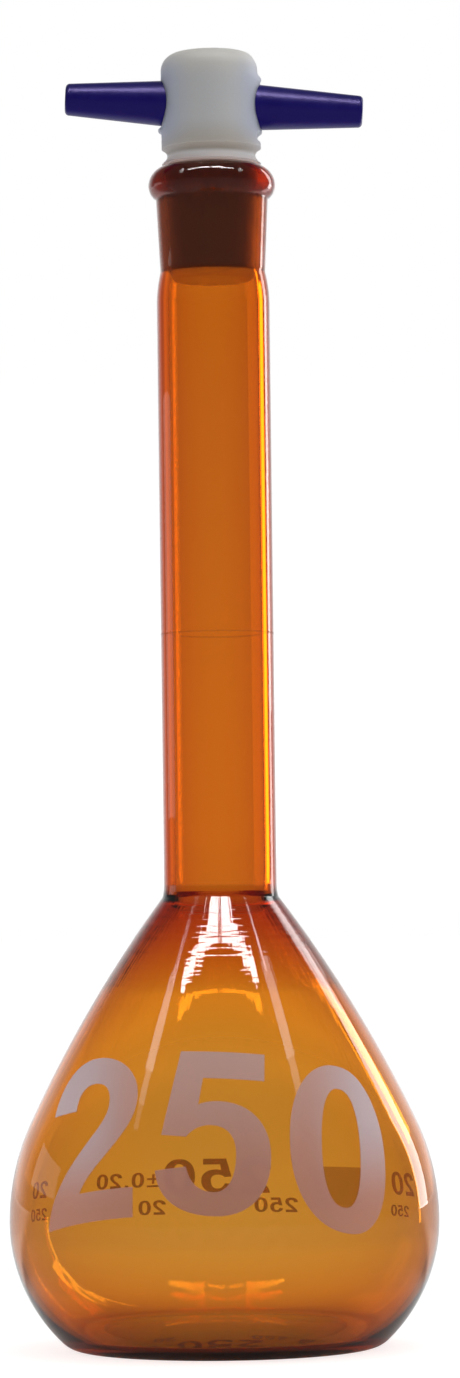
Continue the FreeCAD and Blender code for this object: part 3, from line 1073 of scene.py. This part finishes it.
def amber_glass(settings):
    """Blown glass: tinted in its depth, ground dull in the socket with painted shade on the plug seen
    through it, and with forming marks as fine relief.
    """
    material, tree, output = new_material("amber_glass")
    place, parts = place_parts(tree)
    height = parts["Z"]
    radius = axis_distance(tree, parts)

    # Ground bore: from just below the pinch up to the lip, on the inner side of the wall's middle
    bore = maths(tree, "MULTIPLY_ADD", height, TAPER / 2)
    bore.node.inputs[2].default_value = MOUTH_RADIUS - LIP_HEIGHT * TAPER / 2 + SOCKET_WALL / 2
    inside = maths(tree, "LESS_THAN", radius, bore)
    over_pinch = ramp(tree, height, *(PINCH_HEIGHT + edge for edge in GROUND_START))
    under_lip = ramp(tree, product(tree, height, -1), *(edge - LIP_HEIGHT for edge in GROUND_END))
    ground = product(tree, inside, over_pinch, under_lip)
    roughness = product(tree, ground, GROUND_ROUGHNESS)
    # Colour of the ground bore: partly the real loss at its dull surface, partly painted shade on the plug
    # behind it
    clear = blend(tree, ground, (1, 1, 1), settings.ground)

    # Relief left by the forming: rings under the neck, flutes down the shoulder, draw lines along the neck
    neck = ramp(tree, height, NECK_START - NECK_BLEND, NECK_START + NECK_BLEND)
    below = maths(tree, "SUBTRACT", 1.0, neck)
    turned = add_node(tree, "ShaderNodeCombineXYZ", X=parts["X"], Y=parts["Y"])
    round_axis = tree.nodes.new("ShaderNodeVectorMath")
    round_axis.operation = "NORMALIZE"
    tree.links.new(turned.outputs["Vector"], round_axis.inputs[0])
    rings = ramp(tree, noise(tree, stretched(tree, place, RING_STRETCH), 1.0, 1.0), *RING_EDGES)
    rings = product(tree, rings, product(tree, ramp(tree, height, *RING_HEIGHTS), RING_WEIGHT))
    flutes = noise(tree, round_axis.outputs["Vector"], FLUTE_SCALE, 1.0)
    flutes = product(tree, flutes, product(tree, ramp(tree, height, *FLUTE_HEIGHTS), FLUTE_WEIGHT))
    lines = noise(tree, round_axis.outputs["Vector"], LINE_SCALE, 3.0)
    shoulder = product(tree, maths(tree, "ADD", rings, flutes), below)
    relief = maths(tree, "ADD", shoulder, product(tree, lines, neck))
    bump = add_node(tree, "ShaderNodeBump", Strength=1.0, Distance=settings.relief, Height=relief)

    shader = add_node(
        tree, "ShaderNodeBsdfPrincipled",
        Base_Color=clear, Roughness=roughness, IOR=settings.index, Transmission_Weight=1.0,
        Normal=bump.outputs["Normal"])
    depth = add_node(
        tree, "ShaderNodeVolumeAbsorption", Color=settings.tint, Density=settings.tint_density)
    set_inputs(tree, output, Surface=shader.outputs["BSDF"], Volume=depth.outputs["Volume"])
    return material


# Where the enamel's painted sheen sets in: heights for its top, distances from the middle and heights for
# its sides
ENAMEL_SHEEN_TOP = (28 * MM, 62 * MM)
ENAMEL_SHEEN_SIDES = (14 * MM, 26 * MM)
ENAMEL_SHEEN_SIDE_HEIGHTS = (26 * MM, 44 * MM)


def enamel(name, colours, covers):
    """Fired enamel: dull, a little uneven, with a painted sheen that makes it paler high up and paler and
    closer at the sides.

    The colours are the low colour, the top colour with its painted sheen and the side colour with its
    painted sheen and side light; the covers are those of the middle and the sides.
    """
    low_colour, top_sheen_colour, side_sheen_colour = colours
    material, shader, grain = grained(
        name, low_colour, 0.25, Fine=3500.0, Coarse=90.0, Roughness=0.48, Spread=0.2, Shading=0.16)
    tree = material.node_tree
    parts = place_parts(tree)[1]
    # Painted sheen: paler high up, and paler and closer at the sides of the large number
    high = ramp(tree, parts["Z"], *ENAMEL_SHEEN_TOP)
    side = ramp(tree, maths(tree, "ABSOLUTE", parts["X"]), *ENAMEL_SHEEN_SIDES)
    side = product(tree, side, ramp(tree, parts["Z"], *ENAMEL_SHEEN_SIDE_HEIGHTS))
    colour = blend(tree, side, blend(tree, high, low_colour, top_sheen_colour), side_sheen_colour)
    set_inputs(tree, grain, Colour=colour)
    set_inputs(tree, shader, Alpha=mixed(tree, side, *covers))
    return material


def ring_enamel(settings):
    """Enamel of the ring mark, laid on so thinly that most of the light comes through."""
    material, shader, _ = grained(
        "ring_enamel", settings.ring_colour, 0.25,
        Fine=3500.0, Coarse=400.0, Roughness=0.6, Spread=0.2, Shading=0.5)
    set_inputs(material.node_tree, shader, Alpha=settings.ring_cover)
    return material


# Where the stopper's painted light and shade change: to the side of its axis, away from the handle, at the
# handle's height, at the lip's height and at the groove's narrowest place
HANDLE_BOUNCE_SIDE = (3 * MM, 10 * MM)
HANDLE_BOUNCE_REACH = (3 * MM, 11 * MM)
LIGHT_AND_SHADE_REACH = (3 * MM, 9 * MM)
LIGHT_AND_SHADE_HEIGHTS = (HANDLE_HEIGHT - MM, HANDLE_HEIGHT + MM)
LIP_LINE = (LIP_HEIGHT - 0.5 * MM, LIP_HEIGHT + 0.3 * MM)
GROOVE_LINE = (LIP_HEIGHT + WAIST_RISE - 0.5 * MM, LIP_HEIGHT + WAIST_RISE + 0.4 * MM)


def white_polymer(settings):
    """Turned fluoropolymer: milky, with light spreading in its depth, fine tool marks, uneven tones and
    painted light and shade.

    The head has a little warm painted light from above at its crown, painted shade with a warm bounce from
    the glass below the handle, painted bounce light from the handle at its sides and painted light in its
    groove, where light comes through; the cone below the lip has the plain colour.
    """
    material, shader, grain = grained(
        "white_polymer", settings.polymer, 0.3,
        Fine=1800.0, Coarse=120.0, Roughness=0.5, Spread=0.15, Shading=0.06)
    tree = material.node_tree
    parts = place_parts(tree)[1]
    height = parts["Z"]
    # Painted bounce light from the violet handle: bluer at the head's sides near the handle
    side = ramp(tree, maths(tree, "ABSOLUTE", parts["X"]), *HANDLE_BOUNCE_SIDE)
    from_handle = maths(tree, "ABSOLUTE", maths(tree, "SUBTRACT", height, HANDLE_HEIGHT))
    near = maths(tree, "SUBTRACT", 1.0, ramp(tree, from_handle, *HANDLE_BOUNCE_REACH))
    # Painted light at the crown above the handle and painted shade below it
    ends = blend(tree, ramp(tree, height, *LIGHT_AND_SHADE_HEIGHTS), settings.shaded_lower_head, settings.crown)
    over_lip = ramp(tree, height, *LIP_LINE)
    away = product(tree, ramp(tree, from_handle, *LIGHT_AND_SHADE_REACH), over_lip)
    colour = blend(tree, away, settings.polymer, ends)
    colour = blend(tree, product(tree, side, near), colour, settings.handle_bounce_tint)
    in_groove = maths(tree, "SUBTRACT", over_lip, ramp(tree, height, *GROOVE_LINE))
    colour = blend(tree, in_groove, colour, settings.groove)
    set_inputs(tree, grain, Colour=colour)
    set_inputs(
        tree, shader, Subsurface_Weight=0.85, Subsurface_Radius=(1.0, 0.95, 0.9), Subsurface_Scale=5 * MM,
        IOR=1.36)
    return material


def violet_plastic(settings):
    """Moulded plastic with a satin skin."""
    material, shader, _ = grained(
        "violet_plastic", settings.plastic, 0.55,
        Fine=1500.0, Coarse=300.0, Roughness=0.33, Spread=0.25, Shading=0.35)
    set_inputs(material.node_tree, shader, Specular_IOR_Level=0.5, Specular_Tint=(0.62, 0.5, 1.0))
    return material


# Operators

class FLASK_OT_glass(Operator):
    """Blow the glass flask: bulb, neck, socket and lip as one closed wall"""

    bl_idname = "flask.glass"
    bl_label = "Glass"

    def execute(self, context):
        settings = context.scene.flask_glass
        rings = revolved(glass_outline(settings), FLASK_SEGMENTS)
        glass = add_piece("flask_glass", *closed_rings(*rings), sharp=GLASS_SHARP)
        dress(glass, "flask", amber_glass(settings))
        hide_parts("bulb", "neck_tube", "ground_socket")
        return {"FINISHED"}


class FLASK_OT_print(Operator):
    """Fire the enamel: the large number, the plain numbers and field on the back, and the ring mark"""

    bl_idname = "flask.print"
    bl_label = "Print"

    def execute(self, context):
        settings = context.scene.flask_print
        front = enamel(
            "enamel", (settings.colour, settings.top_sheen_colour, settings.side_sheen_colour),
            (settings.cover, settings.side_sheen_cover))
        # Painted shade: the back numbers are a darker, browner copy of the same enamel
        back = enamel("back_enamel", [settings.back_shaded_colour] * 3, [settings.back_cover] * 2)
        field = enamel("field_enamel", [settings.colour] * 3, [settings.field_cover] * 2)
        dress(large_number(settings), "flask", front)
        dress(back_numbers(settings), "flask", back)
        dress(note_field(settings), "flask", field)
        mark = frame["nodes"]["ring_mark"]
        mark.data.materials.clear()
        mark.data.materials.append(ring_enamel(settings))
        return {"FINISHED"}


class FLASK_OT_stopper(Operator):
    """Turn the stopper: cone, relief groove and domed head with a cross bore"""

    bl_idname = "flask.stopper"
    bl_label = "Stopper"

    def execute(self, context):
        settings = context.scene.flask_stopper
        rings, first, last = revolved(stopper_outline(), STOPPER_SEGMENTS)
        stopper = add_piece("stopper", *closed_rings(marked(rings), first, last))
        cross_bored(stopper, settings)
        dress(stopper, "stopper", white_polymer(settings))
        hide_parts("stopper_plug")
        return {"FINISHED"}


class FLASK_OT_handle(Operator):
    """Mould the cross handle that is pushed through the stopper's head"""

    bl_idname = "flask.handle"
    bl_label = "Handle"

    def execute(self, context):
        settings = context.scene.flask_stopper
        handle = turned_bar("handle", handle_outline(settings))
        dress(handle, "stopper", violet_plastic(settings))
        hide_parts("cross_handle")
        return {"FINISHED"}


# Stage

# How far the floor reaches on every side
FLOOR_REACH = 30.0

# What gloss and glass show of the floor: levels, and the distances in metres over which they change, depths
# behind the axis and radii round it; the slant is the depth as a share of the radius
FAR_LEVEL = 0.86
FAR_DEPTH = (0.3, 4.0)
MIDDLE_LEVEL = 0.74
MIDDLE_DEPTH = (0.16, 0.24)
BACK_DEPTH = (-0.02, 0.07)
BACK_SLANT = (0.55, 0.70)
SLANT_RADIUS = (0.05, 0.085)
# Painted shadow round the foot in what gloss and glass show: its level and the radii over which it fades
FOOT_SHADOW_LEVEL = 0.15
FOOT_SHADOW_RADIUS = (0.0255, 0.034)

# Painted light on the floor beside the foot, as glass shows it: what is added to its level, and where that
# starts to the side and ends round the axis
BESIDE_LIGHT_LEVEL = 0.28
BESIDE_START = (0.022, 0.032)
BESIDE_END = (0.05, 0.07)

# The floor to the eye, close to the foot and away from it
CLOSE_DISTANCE = 0.015
CLOSE_LEVEL = 0.76
OPEN_LEVEL = 0.95

# The floor's own colour, and the share of it that is left under the foot as painted shadow, in the middle of
# the camera's side and on the open side, which is the rest
FLOOR_COLOUR = 0.3
UNDER_RADIUS = (0.0255, 0.0285)
UNDER_SHADE = 0.02
OPEN_SHADE = 0.9
OPEN_DEPTH = (0.0, 0.022)
OPEN_ASIDE = (0.013, 0.025)

# The surroundings by the arrow of length 1 that points at them, with Y away from the camera and Z up
BACK_LEVEL = 1.0
BACK_LOW_LEVEL = 1.14
LOW_START = (0.0, 0.02)
LOW_END = (0.02, 0.12)
HORIZON_RISE = 0.055
HORIZON_EDGE = (0.05, 0.08)
WHITE_IN_GLOSS = (0.64, 0.96)
WHITE_IN_GLASS = (0.44, 0.9)
AMBIENT_TURN = (-0.4, 0.6)

# Factors by which the floor and the surroundings light a dull surface more through glass than without it
FLOOR_THROUGH_GLASS = 4
ROOM_THROUGH_GLASS = 7


def after_dull(tree, path):
    """1 for rays that have left a dull surface, and 0 for the rest."""
    return maths(tree, "GREATER_THAN", path["Diffuse Depth"], 0.5)


def floor_material(settings):
    """Pale floor: nearly white to the eye, with levels of its own in gloss and glass and on dull surfaces.

    In gloss and glass it is pale behind the flask, dim on the camera's side, with a painted shadow round the
    foot and painted light beside it in glass. Its dull colour takes the flask's shadow and has a painted
    shadow under the foot.
    """
    material, tree, output = new_material("pale_floor")
    path = tree.nodes.new("ShaderNodeLightPath").outputs
    parts = place_parts(tree)[1]
    depth = parts["Y"]
    aside = maths(tree, "ABSOLUTE", parts["X"])
    radius = axis_distance(tree, parts)

    far = mixed(tree, ramp(tree, depth, *FAR_DEPTH), settings.floor_gloss, FAR_LEVEL)
    far = mixed(tree, ramp(tree, depth, *MIDDLE_DEPTH), MIDDLE_LEVEL, far)
    behind = ramp(tree, maths(tree, "DIVIDE", depth, radius), *BACK_SLANT)
    behind = mixed(tree, ramp(tree, radius, *SLANT_RADIUS), 1.0, behind)
    back = product(tree, behind, ramp(tree, depth, *BACK_DEPTH))
    # Painted shadow round the foot
    foot_shadow = mixed(tree, ramp(tree, radius, *FOOT_SHADOW_RADIUS), FOOT_SHADOW_LEVEL, 1.0)
    shown = product(tree, mixed(tree, back, settings.front_gloss, far), foot_shadow)
    # Painted light beside the foot, for glass only
    beside_light = maths(
        tree, "SUBTRACT", ramp(tree, aside, *BESIDE_START), ramp(tree, radius, *BESIDE_END), clamp=True)
    beside_light = product(tree, beside_light, path["Is Transmission Ray"], BESIDE_LIGHT_LEVEL)
    shown = maths(tree, "ADD", shown, beside_light)

    lit = mixed(
        tree, path["Is Transmission Ray"],
        settings.floor_ambient, FLOOR_THROUGH_GLASS * settings.floor_ambient)
    level = mixed(tree, after_dull(tree, path), shown, lit)
    close = add_node(tree, "ShaderNodeAmbientOcclusion", Distance=CLOSE_DISTANCE).outputs["AO"]
    level = mixed(tree, path["Is Camera Ray"], level, mixed(tree, close, CLOSE_LEVEL, OPEN_LEVEL))

    # Painted shadow under the foot in the floor's dull colour
    open_side = maths(tree, "MAXIMUM", ramp(tree, depth, *OPEN_DEPTH), ramp(tree, aside, *OPEN_ASIDE))
    under = mixed(tree, open_side, UNDER_SHADE, OPEN_SHADE)
    shade = mixed(tree, ramp(tree, radius, *UNDER_RADIUS), under, 1.0)
    dull = add_node(tree, "ShaderNodeBsdfDiffuse", Color=product(tree, shade, FLOOR_COLOUR))
    glow = add_node(tree, "ShaderNodeEmission", Color=(1, 1, 1), Strength=level)
    both = tree.nodes.new("ShaderNodeAddShader")
    tree.links.new(dull.outputs["BSDF"], both.inputs[0])
    tree.links.new(glow.outputs["Emission"], both.inputs[1])
    set_inputs(tree, output, Surface=both.outputs["Shader"])
    return material


def studio_world(settings):
    """White to the eye; in gloss and through glass white behind the flask and dim on the camera's side."""
    world = bpy.data.worlds.new("studio")
    bpy.context.scene.world = world
    world.use_nodes = True
    tree = world.node_tree
    tree.nodes.clear()
    path = tree.nodes.new("ShaderNodeLightPath").outputs
    place = tree.nodes.new("ShaderNodeTexCoord").outputs["Generated"]
    parts = add_node(tree, "ShaderNodeSeparateXYZ", Vector=place).outputs
    depth = parts["Y"]
    rise = parts["Z"]

    low = maths(tree, "SUBTRACT", ramp(tree, rise, *LOW_START), ramp(tree, rise, *LOW_END))
    behind = mixed(tree, low, BACK_LEVEL, BACK_LOW_LEVEL)
    from_horizon = maths(tree, "ABSOLUTE", maths(tree, "SUBTRACT", rise, HORIZON_RISE))
    front = mixed(
        tree, ramp(tree, from_horizon, *HORIZON_EDGE), settings.horizon_gloss, settings.front_gloss)
    white = mixed(
        tree, path["Is Transmission Ray"],
        ramp(tree, depth, *WHITE_IN_GLOSS), ramp(tree, depth, *WHITE_IN_GLASS))
    shown = maths(tree, "MAXIMUM", mixed(tree, white, front, behind), path["Is Camera Ray"])

    lit = mixed(tree, ramp(tree, depth, *AMBIENT_TURN), settings.front_ambient, settings.back_ambient)
    boost = mixed(tree, path["Is Transmission Ray"], 1.0, ROOM_THROUGH_GLASS)
    level = mixed(tree, after_dull(tree, path), shown, product(tree, lit, boost))
    sky = add_node(tree, "ShaderNodeBackground", Color=(1, 1, 1), Strength=level)
    output = tree.nodes.new("ShaderNodeOutputWorld")
    set_inputs(tree, output, Surface=sky.outputs["Background"])


# Each lamp shows in gloss, in the depth of glass or on dull surfaces, as the last words of its row say

# Lamps that stand round the flask: name, turn from straight behind it towards +X and width as seen from the
# axis, both in degrees, distance from the axis, lower and upper edge in metres, and radiance
UPRIGHT_LAMPS = (
    ("right_strip", 47.8, 12.5, 0.9, 0.02, 0.98, 3.8, "gloss"),
    ("right_strip_near", 48, 14, 0.15, 0.125, 0.22, 1.3, "gloss"),
    ("right_strip_inside", 46, 10, 0.25, 0.085, 0.245, 11.0, "depth"),
    ("right_line_inside", 54, 2.2, 0.4, 0.0, 0.6, 9.0, "depth"),
    ("right_glow_inside", 19.5, 19, 0.9, 0.02, 0.42, 0.32, "depth"),
    ("left_wall", -64.5, 26, 0.9, 0.12, 0.28, 0.65, "gloss"),
    ("left_wall_inside", -46.5, 19, 0.9, 0.10, 0.42, 0.75, "depth"),
    ("left_glow_inside", -18.6, 2.4, 0.9, 0.10, 0.34, 1.3, "depth"),
)

# Lamps that hang over the flask at one height and face down: name, place of the middle and size in metres,
# turn in degrees, and radiance
OVERHEAD = 0.675
LEFT_TURN = 40.7
RIGHT_TURN = -46
OVERHEAD_LAMPS = (
    ("overhead_left", (-0.183, -0.222), (0.308, 0.05), 0, 23.0, "gloss", "depth"),
    ("overhead_right", (0.159, -0.222), (0.308, 0.05), 0, 23.0, "gloss", "depth"),
    ("overhead_rear_left", (-0.087, -0.176), (0.116, 0.042), 0, 23.0, "gloss"),
    ("overhead_rear_right", (0.063, -0.176), (0.116, 0.042), 0, 23.0, "gloss"),
    ("slit_left", (-0.367, -0.107), (0.138, 0.018), LEFT_TURN, 9.0, "gloss"),
    ("slit_right", (0.36, -0.1025), (0.117, 0.018), RIGHT_TURN, 9.0, "gloss"),
    ("streak_left", (-0.486, -0.208), (0.19, 0.08), LEFT_TURN, 4.0, "gloss"),
    ("streak_left_end", (-0.588, -0.296), (0.08, 0.06), LEFT_TURN, 2.2, "gloss"),
    ("streak_left_fade", (-0.649, -0.348), (0.08, 0.045), LEFT_TURN, 1.0, "gloss"),
    ("streak_right", (0.4545, -0.201), (0.19, 0.09), RIGHT_TURN, 3.8, "gloss"),
    ("streak_right_end", (0.548, -0.298), (0.08, 0.07), RIGHT_TURN, 2.2, "gloss"),
    ("streak_right_fade", (0.604, -0.356), (0.08, 0.05), RIGHT_TURN, 1.0, "gloss"),
)

# Lamps for dull surfaces: name, place, target and size in metres, width of the beam in degrees, and radiance
DULL_LAMPS = (
    ("side_left", (-0.5, -0.05, 0.12), (0, 0, 0.045), (0.16, 0.12), 40, 0.88, "dull"),
    ("side_right", (0.5, -0.05, 0.12), (0, 0, 0.045), (0.16, 0.12), 40, 0.55, "dull"),
    ("key", (0.4, -0.2, 1.0), (0, 0, 0.11), (1.0, 0.8), 180, 1.42, "dull"),
    ("fill", (0.25, -0.8, 0.16), (0, 0, 0.21), (0.5, 0.3), 180, 0.9, "dull"),
)


def softbox(name, place, target, size, radiance, shows, turn=0.0, spread=math.pi):
    """A rectangular lamp that faces a target and shows in gloss, in glass or on dull surfaces."""
    lamp = bpy.data.lights.new(name, "AREA")
    lamp.shape = "RECTANGLE"
    lamp.size, lamp.size_y = size
    lamp.spread = spread
    lamp.energy = radiance * size[0] * size[1] * math.pi
    box = bpy.data.objects.new(name, lamp)
    bpy.context.scene.collection.objects.link(box)
    facing = (Vector(place) - Vector(target)).to_track_quat("Z", "Y").to_matrix().to_4x4()
    box.matrix_world = Matrix.Translation(place) @ facing @ Matrix.Rotation(turn, 4, "Z")
    box.visible_camera = False
    box.visible_diffuse = "dull" in shows
    box.visible_glossy = "gloss" in shows
    box.visible_transmission = "depth" in shows


def upright_box(name, turn, width, distance, low, high, radiance, *shows):
    """A softbox that stands round the flask and faces its axis."""
    turn = math.radians(turn)
    middle = (low + high) / 2
    place = (distance * math.sin(turn), distance * math.cos(turn), middle)
    size = (2 * distance * math.tan(math.radians(width) / 2), high - low)
    softbox(name, place, (0, 0, middle), size, radiance, shows)


def overhead_box(name, middle, size, turn, radiance, *shows):
    """A softbox that hangs over the flask and faces straight down."""
    softbox(name, (*middle, OVERHEAD), (*middle, 0), size, radiance, shows, turn=math.radians(turn))


def dull_box(name, place, target, size, spread, radiance, *shows):
    """A softbox with a beam of a given width."""
    softbox(name, place, target, size, radiance, shows, spread=math.radians(spread))


class FLASK_OT_stage(Operator):
    """Set the stage: pale floor, white surroundings, soft boxes and the camera"""

    bl_idname = "flask.stage"
    bl_label = "Stage"

    def execute(self, context):
        settings = context.scene.flask_stage
        sides = ((-1, -1), (1, -1), (1, 1), (-1, 1))
        corners = [(FLOOR_REACH * x, FLOOR_REACH * y, 0) for x, y in sides]
        floor = add_piece("floor", corners, [[0, 1, 2, 3]])
        floor.data.materials.append(floor_material(settings))
        studio_world(settings)
        for lamp in UPRIGHT_LAMPS:
            upright_box(*lamp)
        for lamp in OVERHEAD_LAMPS:
            overhead_box(*lamp)
        for lamp in DULL_LAMPS:
            dull_box(*lamp)

        eye = bpy.data.cameras.new("camera")
        eye.lens = settings.lens
        eye.shift_x, eye.shift_y = settings.shift
        eye.clip_start, eye.clip_end = 0.01, 100
        camera = bpy.data.objects.new("camera", eye)
        context.scene.collection.objects.link(camera)
        lean, upright = math.sin(settings.roll), math.cos(settings.roll)
        x, y, z = settings.eye
        camera.matrix_world = Matrix((
            (upright, lean, 0, x),
            (0, 0, -1, y),
            (-lean, upright, 0, z),
            (0, 0, 0, 1),
        ))
        context.scene.camera = camera
        context.scene.view_settings.view_transform = "Standard"
        return {"FINISHED"}


OPERATORS = (FLASK_OT_glass, FLASK_OT_print, FLASK_OT_stopper, FLASK_OT_handle, FLASK_OT_stage)


class FLASK_PT_sidebar(Panel):
    """Settings and operators of the flask"""

    bl_label = "Volumetric flask"
    bl_idname = "FLASK_PT_sidebar"
    bl_space_type = "VIEW_3D"
    bl_region_type = "UI"
    bl_category = "Flask"

    def draw(self, context):
        for name, group in SETTINGS.items():
            box = self.layout.box()
            for setting in group.__annotations__:
                box.prop(getattr(context.scene, name), setting)
        for operator in OPERATORS:
            self.layout.operator(operator.bl_idname)


SETTINGS = {
    "flask_glass": GlassSettings,
    "flask_print": PrintSettings,
    "flask_stopper": StopperSettings,
    "flask_stage": StageSettings,
}


def register():
    """Registers the settings, the operators and the panel, and gives every scene its settings."""
    for part in (*SETTINGS.values(), *OPERATORS, FLASK_PT_sidebar):
        bpy.utils.register_class(part)
    for name, group in SETTINGS.items():
        setattr(bpy.types.Scene, name, PointerProperty(type=group))


def unregister():
    """Takes back what register did."""
    for name in SETTINGS:
        delattr(bpy.types.Scene, name)
    for part in reversed((*SETTINGS.values(), *OPERATORS, FLASK_PT_sidebar)):
        bpy.utils.unregister_class(part)


def main():
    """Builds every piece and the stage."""
    register()
    bpy.ops.flask.glass()
    bpy.ops.flask.print()
    bpy.ops.flask.stopper()
    bpy.ops.flask.handle()
    bpy.ops.flask.stage()


if __name__ == "__main__":
    main()
